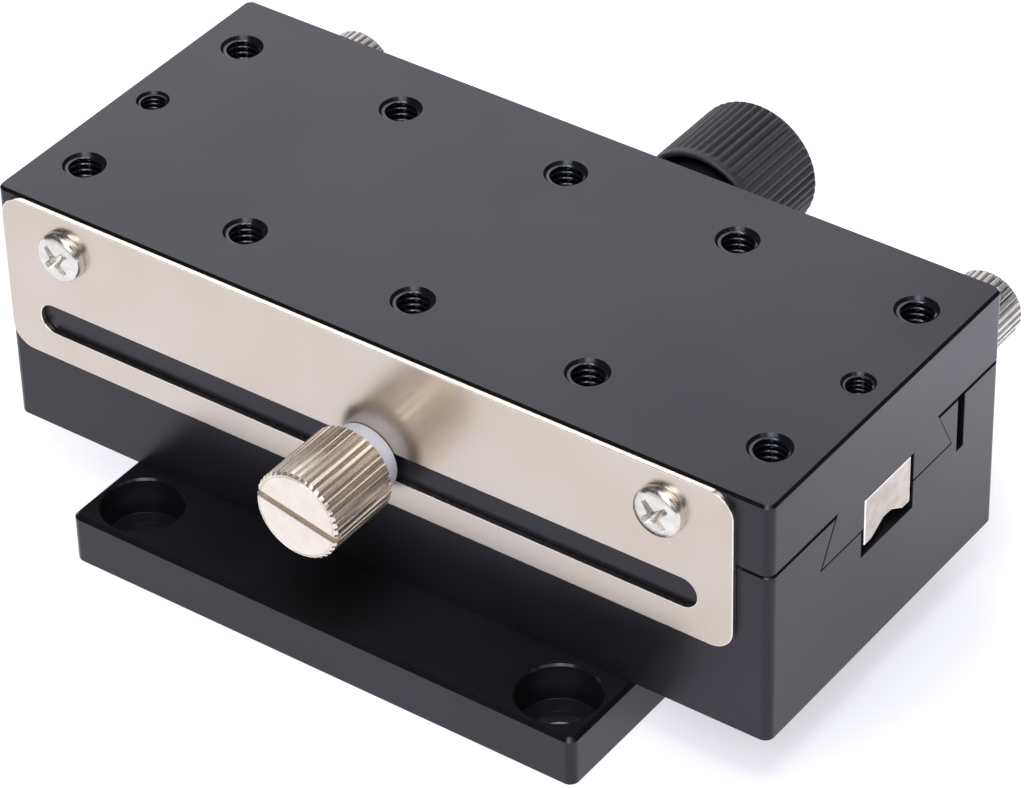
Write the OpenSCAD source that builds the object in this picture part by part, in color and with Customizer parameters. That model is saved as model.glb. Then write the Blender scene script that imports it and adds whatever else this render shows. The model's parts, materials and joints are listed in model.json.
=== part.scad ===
// Dovetail linear stage with rack and pinion drive, slotted lock plate and thumb screws.
// Frame: origin at the centre of the base plate's underside.
// X runs along the travel, Y towards the drive knob, Z up. Lengths are in millimetres.

/* [Base plate] */
// Length of the base plate along the travel
base_l = 60; // [56:1:80]
// Width of the base plate across the travel
base_w = 60; // [60:1:80]
// Thickness of the base plate
base_t = 5.6; // [5.2:0.1:10]
// Distance between the fixing holes, both ways
fixing_pitch = 50; // [50:0.5:51]
// Diameter of the fixing holes
fixing_d = 4.5; // [4:0.1:5]
// Diameter of their counterbores
counterbore_d = 8.2; // [7.5:0.1:8.6]
// Depth of their counterbores
counterbore_depth = 4.2; // [3:0.1:4.4]

/* [Body] */
// Length of the body and of the table
stage_length = 90; // [88:1:110]
// How far the body's front and back faces stand back from the table's
body_setback = 0.05; // [0:0.05:0.3]
// Height of the body above the base plate
body_h = 19.4; // [19:0.1:24]
// Radius of the upright corners
corner_r = 1; // [0.5:0.1:3]

/* [Table] */
// Width of the table
table_w = 40; // [40:0.1:44]
// Thickness of the table above the seam
table_t = 8; // [7.5:0.1:12]
// Gap of the seam between the table and the body
seam_gap = 0.25; // [0.15:0.05:0.4]
// Bevel along the top edges of the table
edge_break = 0.4; // [0.1:0.05:1]
// Distance between tapped holes along the travel
hole_pitch = 20; // [19:0.5:20]
// Distance between the two rows of tapped holes
row_pitch = 25; // [24:0.5:28]
// Thread diameter of the holes in the two rows
row_thread_d = 4; // [3:0.5:4]
// Depth of the holes in the two rows
row_depth = 6.5; // [5:0.1:7]
// Number of tapped holes in each row
hole_columns = 5; // [3:2:5]
// Distance from the table's ends to the two small tapped holes on the centre line
end_hole_inset = 3.5; // [3:0.5:5]
// Thread diameter of the small holes
end_thread_d = 3; // [2:0.5:3]
// Depth of the small holes
end_depth = 5.5; // [4:0.1:6]
// Bevel at the mouth of each tapped hole
mouth_break = 0.2; // [0.1:0.05:0.4]

/* [Dovetail] */
// Width of the tongue at the underside of the table
neck_w = 17.4; // [16:0.1:17.6]
// Height of the tongue
tongue_h = 4.85; // [4.5:0.05:5.4]
// Angle of the tongue's sides
dovetail_angle = 62; // [58:1:65]
// Running gap under the tongue
floor_gap = 0.15; // [0.05:0.01:0.2]
// Gap along the front side of the tongue
front_gap = 0.15; // [0.05:0.01:0.2]
// Gap along the back side, where the gib bears
gib_gap = 0.03; // [0.02:0.01:0.1]
// Thickness of the gib's root beside the groove floor
gib_root = 0.9; // [0.4:0.05:1]
// Width of the slit behind the gib
slit_w = 1.2; // [0.8:0.1:1.4]
// Depth of the slit below the groove floor
slit_below_floor = 1.55; // [1:0.05:1.6]

/* [Rack and pinion] */
// Gear module, square to the teeth
gear_module = 0.5; // [0.4:0.01:0.5]
// Number of teeth of the pinion
pinion_teeth = 16; // [14:1:16]
// Helix angle of the teeth
helix_angle = 12; // [0:1:15]
// Play between the teeth, along the pitch line
backlash = 0.06; // [0.04:0.01:0.1]
// Face width of the pinion
pinion_w = 8.6; // [8:0.1:8.8]
// Gap between the rack's ends and the table's ends
rack_end_gap = 0; // [0:0.1:1]
// Width of the rack
rack_w = 8; // [7.5:0.1:8.4]
// Height of the rack with its teeth
rack_h = 5.4; // [5:0.1:5.8]
// Width of the channel in the body that the rack runs through
channel_w = 9; // [8.8:0.1:9.4]
// Depth of the channel in the tongue
channel_depth = 3.25; // [3:0.05:3.8]
// Distance from the table's ends to the rack's two screws
rack_screw_inset = 4; // [3.5:0.1:4.5]

/* [Shaft and knob] */
// Diameter of the pinion shaft
shaft_d = 5; // [4:0.1:5]
// Outer diameter of the bushes
bush_d = 7; // [6.6:0.1:7.4]
// Length of each bush
bush_l = 6; // [4:0.5:6.5]
// Diameter of the bore that takes the pinion and the shaft housing
pocket_d = 9.6; // [9.5:0.1:10]
// Outer diameter of the shaft housing outside the body
nose_d = 11.8; // [10:0.1:12.4]
// Thickness of the thrust washers
washer_t = 0.5; // [0.3:0.1:0.8]
// Distance from the body's back face to the knob
knob_reach = 15.6; // [13:0.1:18]
// Diameter of the knob
knob_d = 14.6; // [14.4:0.1:17]
// Length of the knob
knob_l = 11.6; // [11:0.1:15]
// Wall of the knob round its recess
knob_wall = 0.7; // [0.6:0.1:1]
// How far the housing reaches into the knob's recess
nose_in = 1.2; // [0.8:0.1:2]
// Number of flutes on the knob
knob_flutes = 48; // [36:1:60]

/* [Lock plate] */
// Distance from the table's left end to the plate
plate_left_gap = 1; // [0.6:0.1:1.6]
// Distance from the table's right end to the plate
plate_right_gap = 3.6; // [3:0.1:3.8]
// Height of the slotted plate
plate_h = 17.9; // [17.5:0.1:18.4]
// Thickness of the slotted plate
plate_t = 0.6; // [0.5:0.1:1.2]
// Radius of the plate's corners
plate_corner_r = 2.5; // [1:0.5:4]
// Distance from the table's top to the plate's upper edge
plate_drop = 0.2; // [0.1:0.1:0.5]
// Distance from the plate's ends to the slot
slot_end_gap = 3.9; // [3.2:0.1:4]
// Width of the slot
slot_w = 3.3; // [3.2:0.1:3.8]
// Distance from the plate's upper edge to the middle of the slot
slot_drop = 13.1; // [12.9:0.1:13.4]
// Distance from the plate's ends to its two screws
plate_screw_inset = 7.7; // [7.5:0.1:12]
// Distance from the table's top to the plate's screws
plate_screw_drop = 4.5; // [3.8:0.1:4.6]

/* [Thumb screws] */
// Thread diameter of the thumb screws and small screws
thread_d = 3; // [2.5:0.1:3]
// Diameter of the lock screw's head
lock_head_d = 9.5; // [8:0.1:11]
// Length of the lock screw's head
lock_head_l = 8.8; // [6:0.1:11]
// Number of flutes on the lock screw's head
lock_flutes = 38; // [24:1:44]
// Diameter of the nylon washer under the lock screw
nylon_d = 7.4; // [6:0.1:9]
// Thickness of the nylon washer
nylon_t = 2.1; // [1:0.1:3]
// Length of the lock screw's thread inside the body
lock_grip = 5.8; // [4:0.1:6]
// Turn of the driver slot in the lock screw's end
lock_slot_turn = -10; // [-90:5:90]
// Distance from the body's ends to the two gib screws
gib_screw_inset = 7; // [6:0.5:8]
// Diameter of the gib screws' heads
gib_head_d = 7.5; // [6:0.1:9]
// Length of the gib screws' heads
gib_head_l = 7; // [5:0.1:9]
// Distance from the body's back face to the gib screws' heads
gib_head_gap = 2.8; // [1.5:0.1:5]
// Number of flutes on the gib screws' heads
gib_flutes = 30; // [20:1:34]
// Turn of the driver slots in the gib screws' ends
gib_slot_turn = 25; // [-90:5:90]
// Distance between the two set screws of the gib
gib_set_pitch = 38; // [34:1:42]
// Distance from the body's top to the gib's screws
gib_screw_drop = 2.3; // [2.2:0.1:2.6]
// Depth of the flutes on all metal heads
flute_depth = 0.32; // [0.2:0.02:0.5]
// Length of the small set screws
set_screw_l = 4; // [3:0.1:4]

/* [Joining screws] */
// Thread diameter of the screws that hold the base plate
join_d = 4; // [3:0.5:4]
// Distance between them along the travel
join_pitch_x = 36; // [30:1:37]
// Distance between them across the travel
join_pitch_y = 18; // [16:1:20]
// Length of their thread inside the body
join_grip = 8; // [5:0.5:8.5]

/* [Hidden] */
$fn = 48;

// Small clearances shared by all pieces that fit together
fit_gap = 0.05;
shaft_gap = 0.03;
seat_gap = 0.1;
// A cut runs this far past the face that it opens
over = 1;
// Room left past the tip of each screw in its hole
tip_room = 0.6;
// Bevel along the body's top edges
body_break = 0.15;

// Lengths along the travel
rack_l = stage_length - 2 * rack_end_gap;
plate_l = stage_length - plate_left_gap - plate_right_gap;
plate_shift = (plate_left_gap - plate_right_gap) / 2;
slot_l = plate_l - 2 * slot_end_gap;
end_hole_pitch = stage_length - 2 * end_hole_inset;
rack_screw_pitch = stage_length - 2 * rack_screw_inset;
plate_screw_pitch = plate_l - 2 * plate_screw_inset;
gib_screw_pitch = stage_length - 2 * gib_screw_inset;

// Heights
body_top = base_t + body_h;
table_under = body_top + seam_gap;
table_top = table_under + table_t;
tongue_low = table_under - tongue_h;
floor_z = tongue_low - floor_gap;
table_front = -table_w / 2;
body_w = table_w - 2 * body_setback;
body_back = body_w / 2;

// Dovetail widths
side_slope = 1 / tan(dovetail_angle);
neck_half = neck_w / 2;
tongue_half = neck_half + tongue_h * side_slope;
front_shift = front_gap / sin(dovetail_angle);
gib_shift = gib_gap / sin(dovetail_angle);
floor_half = tongue_half + floor_gap * side_slope;
slit_y = floor_half + gib_shift + gib_root;
slit_back = slit_y + slit_w;

// Gear geometry in the plane across the shaft
tooth_pressure = 20;
addendum = gear_module;
dedendum = 1.25 * gear_module;
channel_room = 1.1;
pitch_r = gear_module * pinion_teeth / (2 * cos(helix_angle));
pressure = atan(tan(tooth_pressure) / cos(helix_angle));
base_r = pitch_r * cos(pressure);
tip_r = pitch_r + addendum;
root_r = pitch_r - dedendum;
twist_angle = pinion_w * tan(helix_angle) / pitch_r * 180 / PI;
rack_top = tongue_low + channel_depth;
rack_tip = rack_top - rack_h;
axis_z = rack_tip + addendum - pitch_r;
channel_low = rack_tip - channel_room;

// Places along the shaft
washer_y = pinion_w / 2 + fit_gap;
pinion_washer_r = pocket_d / 2 - 0.4;
pocket_front = -(washer_y + washer_t + fit_gap);
housing_front = -pocket_front;
front_bush_y = pocket_front - bush_l;
knob_y = body_back + knob_reach;
nose_end = knob_y + nose_in;
knob_washer_y = nose_end + seat_gap;
knob_washer_r = nose_d / 2 - 0.5;
recess_end = knob_washer_y + washer_t + seat_gap;
knob_end = knob_y + knob_l;
shaft_end_room = 0.5;
knob_end_wall = 2.5;
shaft_front = front_bush_y - shaft_end_room;
shaft_back = knob_end - knob_end_wall;

// Screws
thread_r = thread_d / 2;
screw_r = thread_r - fit_gap;
lock_z = table_top - plate_drop - slot_drop;
plate_face = table_front - plate_t;
nylon_back = plate_face - fit_gap;
nylon_front = nylon_back - nylon_t;
lock_head_y = nylon_front - fit_gap;
lock_tip = -body_back + lock_grip;
gib_z = body_top - gib_screw_drop;
pad_y = slit_y + fit_gap;
pad_in_thread = 1.6;
pad_l = slit_w + pad_in_thread;
gib_tip = pad_y + pad_l + fit_gap;
gib_head_y = body_back + gib_head_gap;
housing_screw_y = (slit_back + body_back) / 2;
knob_screw_y = (recess_end + shaft_back) / 2;

// Rack screws, sunk in the rack from below
rack_thread_r = 1;
rack_screw_r = rack_thread_r - fit_gap;
rack_hole_r = rack_thread_r + 0.1;
rack_head_r = 1.8;
rack_head_h = 1.2;
rack_head_room = 0.2;
rack_head_z = rack_tip + addendum + dedendum + 0.5;
rack_screw_grip = 2.8;

// Base plate screws, sunk in the base plate from below
join_r = join_d / 2;
join_screw_r = join_r - fit_gap;
join_sink = 0.25;
join_head_room = 0.1;

// Pan head of the lock plate's screws
pan_r = 2.6;
pan_h = 1.9;
plate_screw_grip = 4.5;

// Driver slots and hexagon sockets
slot_gap = 0.8;
slot_depth = 1.1;
socket_w = 1.7;
socket_depth = 1.5;
head_bevel = 0.45;

// Shape of the knob's outside
knob_rim = 0.8;
knob_round = 1.6;
knob_flute_depth = 0.4;

black = "#2c2c30";
steel = "#c9c3bc";
brass = "#b8904a";
nylon = "#d8d8da";

// Turns what is drawn along Z to run towards the back from a place on Y
module to_back(x, y, z) {
    translate([x, y, z]) rotate([-90, 0, 0]) children();
}

// Turns what is drawn along Z to run towards the front from a place on Y
module to_front(x, y, z) {
    translate([x, y, z]) rotate([90, 0, 0]) children();
}

// Both places at plus and minus half a distance along X
module pair_x(pitch) {
    for (side = [-1, 1]) translate([side * pitch / 2, 0, 0]) children();
}

// Four places at the corners of a rectangle
module four(pitch_x, pitch_y) {
    for (x = [-1, 1], y = [-1, 1]) translate([x * pitch_x / 2, y * pitch_y / 2, 0]) children();
}

// Upright plate with round corners and a bevel along its top edges
module plate(length, width, height, radius, bevel) {
    for (side = [0, 1]) {
        across = side == 0 ? length : width;
        along = side == 0 ? width : length;
        rotate([90, 0, side * 90])
            linear_extrude(height = along - 2 * radius, center = true)
                polygon([
                    [-across / 2, 0], [across / 2, 0], [across / 2, height - bevel],
                    [across / 2 - bevel, height], [-across / 2 + bevel, height],
                    [-across / 2, height - bevel]
                ]);
    }
    four(length - 2 * radius, width - 2 * radius) {
        cylinder(r = radius, h = height - bevel);
        translate([0, 0, height - bevel]) cylinder(r1 = radius, r2 = radius - bevel, h = bevel);
    }
}

// Straight length of an outline drawn in Y and Z, centred along X
module bar_x(length) {
    rotate([90, 0, 90]) linear_extrude(height = length, center = true) children();
}

// Tapped hole drawn downwards from its mouth, with a bevelled mouth
module tapped_hole(diameter, depth) {
    translate([0, 0, -depth]) cylinder(d = diameter, h = depth + over);
    translate([0, 0, -mouth_break])
        cylinder(r1 = diameter / 2, r2 = diameter / 2 + mouth_break + over, h = mouth_break + over);
}

// Outline with flutes: a flat ridge and a groove for each
function flute_outline(radius, depth, count, ridge) = [
    for (i = [0 : count - 1])
        for (k = [0 : 2])
            let (turn = 360 / count * (i + [-ridge / 2, ridge / 2, 0.5][k]))
                [radius, radius, radius - depth][k] * [cos(turn), sin(turn)]
];

// Fluted head of a thumb screw, drawn along Z from its shoulder
module fluted_head(diameter, length, flutes) {
    radius = diameter / 2;
    intersection() {
        linear_extrude(height = length) polygon(flute_outline(radius, flute_depth, flutes, 0.55));
        rotate_extrude()
            polygon([
                [0, -over], [radius + over, -over], [radius + over, length - head_bevel - over],
                [radius - head_bevel - over, length + over], [0, length + over]
            ]);
    }
}

// Thumb screw drawn along Z, with the shank below its shoulder and a driver slot in its end
module thumb_screw(diameter, length, flutes, shank, slot_turn) {
    difference() {
        fluted_head(diameter, length, flutes);
        translate([0, 0, length]) rotate([0, 0, slot_turn])
            cube([2 * diameter, slot_gap, 2 * slot_depth], center = true);
    }
    translate([0, 0, -shank]) cylinder(r = screw_r - head_bevel, h = head_bevel + over);
    translate([0, 0, -shank + head_bevel]) cylinder(r = screw_r, h = shank - head_bevel + over);
}

// Headless set screw drawn along Z from its tip, with a hexagon socket
module set_screw(length) {
    difference() {
        union() {
            cylinder(r1 = screw_r - head_bevel, r2 = screw_r, h = head_bevel);
            translate([0, 0, head_bevel]) cylinder(r = screw_r, h = length - head_bevel);
        }
        translate([0, 0, length - socket_depth]) cylinder(d = socket_w, h = socket_depth + over, $fn = 6);
    }
}

// Outline of the tongue in Y and Z, grown by a gap at each side and below
function tongue_outline(front, back, below, above) = [
    [-neck_half - front + above * side_slope, table_under + above],
    [-tongue_half - front - below * side_slope, tongue_low - below],
    [tongue_half + back + below * side_slope, tongue_low - below],
    [neck_half + back - above * side_slope, table_under + above]
];

module base_plate() {
    color(black) difference() {
        plate(base_l, base_w, base_t, corner_r, edge_break);
        four(fixing_pitch, fixing_pitch) {
            translate([0, 0, -over]) cylinder(d = fixing_d, h = base_t + 2 * over);
            translate([0, 0, base_t - counterbore_depth])
                cylinder(d = counterbore_d, h = counterbore_depth + over);
            translate([0, 0, base_t - mouth_break])
                cylinder(
                    d1 = counterbore_d, d2 = counterbore_d + 2 * (mouth_break + over),
                    h = mouth_break + over
                );
        }
        four(join_pitch_x, join_pitch_y) {
            translate([0, 0, -over]) cylinder(r = join_r + join_head_room, h = base_t + 2 * over);
            translate([0, 0, -over])
                cylinder(r = 2 * join_r + join_head_room, h = over + join_sink + fit_gap);
            translate([0, 0, join_sink + fit_gap])
                cylinder(r1 = 2 * join_r + join_head_room, r2 = join_r + join_head_room, h = join_r);
        }
    }
}

module base_plate_screws() {
    color(steel) four(join_pitch_x, join_pitch_y) difference() {
        translate([0, 0, join_sink]) {
            cylinder(r1 = 2 * join_r, r2 = join_screw_r, h = 2 * join_r - join_screw_r);
            cylinder(r = join_screw_r, h = base_t - join_sink + join_grip);
        }
        translate([0, 0, join_sink - over]) cylinder(r = 0.7 * join_r, h = over + socket_depth, $fn = 6);
    }
}

module body() {
    color(black) difference() {
        translate([0, 0, base_t]) plate(stage_length, body_w, body_h, corner_r, body_break);
        // Dovetail groove, rack channel and the slit behind the gib
        bar_x(stage_length + 2 * over) polygon(tongue_outline(front_shift, gib_shift, floor_gap, over));
        translate([0, 0, (channel_low + body_top) / 2])
            cube([stage_length + 2 * over, channel_w, body_top - channel_low], center = true);
        translate([-stage_length / 2 - over, slit_y, floor_z - slit_below_floor])
            cube([stage_length + 2 * over, slit_w, body_h]);
        // Bore for the pinion and the shaft housing, and the blind bore for the front bush
        to_back(0, pocket_front, axis_z) cylinder(d = pocket_d, h = body_back - pocket_front + over);
        to_back(0, shaft_front - fit_gap, axis_z)
            cylinder(d = bush_d, h = pocket_front - shaft_front + fit_gap + over);
        // Lock screw thread
        to_front(0, lock_tip + tip_room, lock_z) cylinder(r = thread_r, h = body_w);
        // Threads of the gib screws and of the gib's set screws
        pair_x(gib_screw_pitch) to_back(0, slit_back - over, gib_z) cylinder(r = thread_r, h = body_w);
        pair_x(gib_set_pitch) to_back(0, slit_back - over, gib_z) cylinder(r = thread_r, h = body_w);
        // Thread of the housing's set screw
        translate([0, housing_screw_y, axis_z]) cylinder(r = thread_r, h = body_h);
        // Threads of the base plate's screws
        translate([0, 0, base_t - over])
            four(join_pitch_x, join_pitch_y) cylinder(r = join_r, h = join_grip + tip_room + over);
    }
}

module bush(length) {
    color(brass) difference() {
        cylinder(r = bush_d / 2 - fit_gap, h = length);
        translate([0, 0, -over]) cylinder(r = shaft_d / 2 + shaft_gap, h = length + 2 * over);
    }
}

module front_bush() {
    to_back(0, front_bush_y, axis_z) bush(bush_l - fit_gap);
}

module shaft_housing() {
    color(black) difference() {
        union() {
            to_back(0, housing_front, axis_z)
                cylinder(r = pocket_d / 2 - fit_gap, h = nose_end - housing_front);
            to_back(0, body_back + fit_gap, axis_z)
                cylinder(d = nose_d, h = nose_end - body_back - fit_gap);
        }
        to_back(0, housing_front - over, axis_z)
            cylinder(d = bush_d, h = nose_end - housing_front + 2 * over);
    }
}

module housing_bushes() {
    to_back(0, housing_front, axis_z) bush(bush_l);
    to_front(0, nose_end, axis_z) bush(bush_l);
}

module housing_set_screw() {
    color(steel) translate([0, housing_screw_y, axis_z + pocket_d / 2]) set_screw(set_screw_l);
}

module gib_set_screws() {
    color(steel) pair_x(gib_set_pitch) to_back(0, pad_y, gib_z) set_screw(set_screw_l);
}

module table() {
    color(black) difference() {
        union() {
            translate([0, 0, table_under]) plate(stage_length, table_w, table_t, corner_r, edge_break);
            bar_x(stage_length) polygon(tongue_outline(0, 0, 0, over));
        }
        // The rack lies against the front wall of its channel
        translate([-stage_length / 2 - over, -rack_w / 2 - fit_gap, tongue_low - over])
            cube([stage_length + 2 * over, (rack_w + channel_w) / 2 + fit_gap, channel_depth + over]);
        translate([0, 0, table_top]) {
            for (x = [-(hole_columns - 1) / 2 : (hole_columns - 1) / 2], y = [-0.5, 0.5])
                translate([x * hole_pitch, y * row_pitch, 0]) tapped_hole(row_thread_d, row_depth);
            pair_x(end_hole_pitch) tapped_hole(end_thread_d, end_depth);
        }
        translate([plate_shift, 0, 0]) pair_x(plate_screw_pitch)
            to_back(0, table_front - over, table_top - plate_screw_drop)
                cylinder(r = thread_r, h = plate_screw_grip + tip_room + over);
        translate([0, 0, rack_top - over]) pair_x(rack_screw_pitch)
            cylinder(r = rack_thread_r, h = rack_screw_grip + tip_room + over);
    }
}

// Outline of the rack in X and Z, square to its teeth, with one gap at X = 0
function rack_outline() =
    let (
        step = PI * gear_module,
        gap = step / 2 + backlash / 2,
        tip_half = gap / 2 + addendum * tan(tooth_pressure),
        root_half = gap / 2 - dedendum * tan(tooth_pressure),
        root_z = rack_tip + addendum + dedendum,
        n = ceil((rack_l + rack_w) / 2 / step),
        end_x = (n + 0.5) * step
    )
    concat(
        [
            for (i = [-n : n])
                for (k = [0 : 3])
                    [
                        i * step + [-tip_half, -root_half, root_half, tip_half][k],
                        [rack_tip, root_z, root_z, rack_tip][k]
                    ]
        ],
        [
            [end_x, rack_tip], [end_x, rack_top + over],
            [-end_x, rack_top + over], [-end_x, rack_tip]
        ]
    );

module rack() {
    color(steel) difference() {
        intersection() {
            translate([-rack_l / 2, -rack_w / 2, rack_tip - over]) cube([rack_l, rack_w, rack_h + over]);
            rotate([90, 0, helix_angle])
                linear_extrude(height = rack_l, center = true) polygon(rack_outline());
        }
        pair_x(rack_screw_pitch) {
            translate([0, 0, rack_tip - over]) cylinder(r = rack_hole_r, h = rack_h + 2 * over);
            translate([0, 0, rack_tip - over])
                cylinder(r = rack_head_r + rack_head_room, h = rack_head_z + rack_head_h - rack_tip + over);
        }
    }
}

module rack_screws() {
    color(steel) pair_x(rack_screw_pitch) difference() {
        union() {
            translate([0, 0, rack_head_z]) cylinder(r = rack_head_r, h = rack_head_h);
            translate([0, 0, rack_head_z])
                cylinder(r = rack_screw_r, h = rack_top - rack_head_z + rack_screw_grip);
        }
        translate([0, 0, rack_head_z - over])
            cylinder(r = 0.4 * rack_head_r, h = over + 0.6 * rack_head_h, $fn = 6);
    }
}

// The plate lies in X and Z against the table's front face
module lock_plate() {
    mid_z = table_top - plate_drop - plate_h / 2;
    color(steel) difference() {
        to_front(plate_shift, table_front, mid_z) plate(plate_l, plate_h, plate_t, plate_corner_r, 0);
        translate([plate_shift, 0, 0]) {
            pair_x(slot_l - slot_w) to_front(0, table_front + over, lock_z)
                cylinder(d = slot_w, h = plate_t + 2 * over);
            pair_x(plate_screw_pitch) to_front(0, table_front + over, table_top - plate_screw_drop)
                cylinder(r = thread_r + 0.1, h = plate_t + 2 * over);
        }
        translate([plate_shift, table_front - plate_t / 2, lock_z])
            cube([slot_l - slot_w, plate_t + 2 * over, slot_w], center = true);
    }
}

// Pan head screws with a cross recess
module lock_plate_screws() {
    screw_z = table_top - plate_screw_drop;
    color(steel) pair_x(plate_screw_pitch) to_front(plate_shift, plate_face, screw_z) difference() {
        union() {
            rotate_extrude() polygon([
                [0, 0], [pan_r, 0], [pan_r, 0.45 * pan_h], [0.89 * pan_r, 0.75 * pan_h],
                [0.65 * pan_r, 0.92 * pan_h], [0, pan_h]
            ]);
            translate([0, 0, -plate_t - plate_screw_grip])
                cylinder(r = screw_r, h = plate_t + plate_screw_grip + pan_h / 4);
        }
        for (turn = [20, 110]) translate([0, 0, pan_h]) rotate([0, 0, turn])
            cube([1.1 * pan_r, 0.25 * pan_r, 2 * slot_depth], center = true);
    }
}

// Half the angle of a pinion tooth at a radius
function involute(radius) = let (a = acos(min(1, base_r / radius))) tan(a) * 180 / PI - a;
function half_tooth(radius) =
    90 / pinion_teeth - backlash / 4 / pitch_r * 180 / PI
    + involute(pitch_r) - involute(max(radius, base_r));

// Outline of the pinion with one tooth pointing along -Y
function pinion_outline() =
    let (flank = [root_r, base_r, base_r + (tip_r - base_r) / 3, base_r + (tip_r - base_r) * 2 / 3, tip_r])
    [
        for (i = [0 : pinion_teeth - 1])
            for (k = [0 : 9])
                let (
                    radius = flank[k < 5 ? k : 9 - k],
                    turn = -90 + 360 / pinion_teeth * i + (k < 5 ? -1 : 1) * half_tooth(radius)
                )
                    radius * [cos(turn), sin(turn)]
    ];

module pinion() {
    color(brass) to_back(0, 0, axis_z) difference() {
        linear_extrude(height = pinion_w, center = true, twist = twist_angle, slices = 5)
            rotate([0, 0, twist_angle / 2]) polygon(pinion_outline());
        cylinder(r = shaft_d / 2 + fit_gap, h = pinion_w + 2 * over, center = true);
    }
}

module pinion_washers() {
    color(brass) for (y = [-washer_y - washer_t, washer_y]) to_back(0, y, axis_z) difference() {
        cylinder(r = pinion_washer_r, h = washer_t);
        translate([0, 0, -over]) cylinder(r = shaft_d / 2 + fit_gap, h = washer_t + 2 * over);
    }
}

module pinion_shaft() {
    color(steel) to_back(0, shaft_front, axis_z) cylinder(d = shaft_d, h = shaft_back - shaft_front);
}

module knob_washer() {
    color(nylon) to_back(0, knob_washer_y, axis_z) difference() {
        cylinder(r = knob_washer_r, h = washer_t);
        translate([0, 0, -over]) cylinder(r = shaft_d / 2 + fit_gap, h = washer_t + 2 * over);
    }
}

// Black knob: plain rim round the recess, flutes behind it and a rounded far end
module knob() {
    radius = knob_d / 2;
    color(black) to_back(0, knob_y, axis_z) difference() {
        intersection() {
            union() {
                cylinder(r = radius - fit_gap, h = knob_rim);
                translate([0, 0, knob_rim]) linear_extrude(height = knob_l - knob_rim)
                    polygon(flute_outline(radius, knob_flute_depth, knob_flutes, 0.4));
            }
            rotate_extrude() polygon([
                [0, -over], [radius + over, -over], [radius + over, knob_l - knob_round],
                [radius + fit_gap, knob_l - knob_round],
                [radius - 0.3 * knob_round, knob_l - 0.3 * knob_round],
                [radius - knob_round, knob_l], [radius - knob_round, knob_l + over], [0, knob_l + over]
            ]);
        }
        translate([0, 0, -over]) cylinder(r = radius - knob_wall, h = recess_end - knob_y + over);
        translate([0, 0, -over])
            cylinder(r = shaft_d / 2 + fit_gap, h = shaft_back - knob_y + over + fit_gap);
        translate([0, 0, knob_screw_y - knob_y]) rotate([-90, 0, 0]) cylinder(r = thread_r, h = knob_d);
    }
}

module knob_set_screw() {
    color(steel) translate([0, knob_screw_y, axis_z - shaft_d / 2 - fit_gap])
        rotate([180, 0, 0]) set_screw(set_screw_l);
}

module lock_washer() {
    color(nylon) to_front(0, nylon_back, lock_z) difference() {
        cylinder(d = nylon_d, h = nylon_t);
        translate([0, 0, -over]) cylinder(r = screw_r + 0.1, h = nylon_t + 2 * over);
    }
}

module lock_screw() {
    color(steel) to_front(0, lock_head_y, lock_z)
        thumb_screw(lock_head_d, lock_head_l, lock_flutes, lock_tip - lock_head_y, lock_slot_turn);
}

module gib_pad(side) {
    color(nylon) to_back(side * gib_screw_pitch / 2, pad_y, gib_z)
        cylinder(r = screw_r - fit_gap, h = pad_l);
}

module gib_screw(side) {
    color(steel) to_back(side * gib_screw_pitch / 2, gib_head_y, gib_z)
        thumb_screw(gib_head_d, gib_head_l, gib_flutes, gib_head_y - gib_tip, gib_slot_turn);
}

base_plate();
base_plate_screws();
body();
front_bush();
shaft_housing();
housing_bushes();
housing_set_screw();
gib_set_screws();
table();
rack();
rack_screws();
lock_plate();
lock_plate_screws();
pinion();
pinion_washers();
pinion_shaft();
knob_washer();
knob();
knob_set_screw();
lock_washer();
lock_screw();
gib_pad(-1);  // gib_pad_left
gib_screw(-1);  // gib_screw_left
gib_pad(1);  // gib_pad_right
gib_screw(1);  // gib_screw_right
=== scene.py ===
"""Linear stage: machined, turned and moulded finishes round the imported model."""
import json
import math

import bmesh
import bpy
from mathutils import Matrix, Vector


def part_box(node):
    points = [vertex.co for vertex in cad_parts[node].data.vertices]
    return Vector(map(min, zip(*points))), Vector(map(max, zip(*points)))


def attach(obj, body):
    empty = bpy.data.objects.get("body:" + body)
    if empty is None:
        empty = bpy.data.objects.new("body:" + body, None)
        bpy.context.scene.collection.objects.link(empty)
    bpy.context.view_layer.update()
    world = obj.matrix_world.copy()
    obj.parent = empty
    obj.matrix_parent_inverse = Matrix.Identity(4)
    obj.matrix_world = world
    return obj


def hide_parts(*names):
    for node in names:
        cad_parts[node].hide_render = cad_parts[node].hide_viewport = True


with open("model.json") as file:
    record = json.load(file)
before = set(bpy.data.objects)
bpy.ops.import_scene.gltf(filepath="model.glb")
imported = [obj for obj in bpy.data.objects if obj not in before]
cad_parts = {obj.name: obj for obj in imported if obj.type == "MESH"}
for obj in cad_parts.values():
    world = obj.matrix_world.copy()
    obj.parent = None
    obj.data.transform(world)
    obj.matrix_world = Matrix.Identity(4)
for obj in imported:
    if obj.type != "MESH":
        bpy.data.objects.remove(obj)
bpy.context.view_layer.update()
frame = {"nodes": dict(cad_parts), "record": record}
NODES = frame["nodes"]
MM = 0.001


def colour(code):
    """Linear colour of an sRGB hex value such as #c9c3bc."""
    parts = [int(code[i:i + 2], 16) / 255 for i in (1, 3, 5)]
    return [c / 12.92 if c <= 0.04045 else ((c + 0.055) / 1.055) ** 2.4 for c in parts] + [1.0]


def aim(place, target, roll=0.0):
    """Matrix of a camera or lamp at a place, looking at a target, turned about its own line of sight."""
    look = (Vector(target) - Vector(place)).to_track_quat("-Z", "Y").to_matrix().to_4x4()
    return Matrix.Translation(place) @ look @ Matrix.Rotation(roll, 4, "Z")


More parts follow.
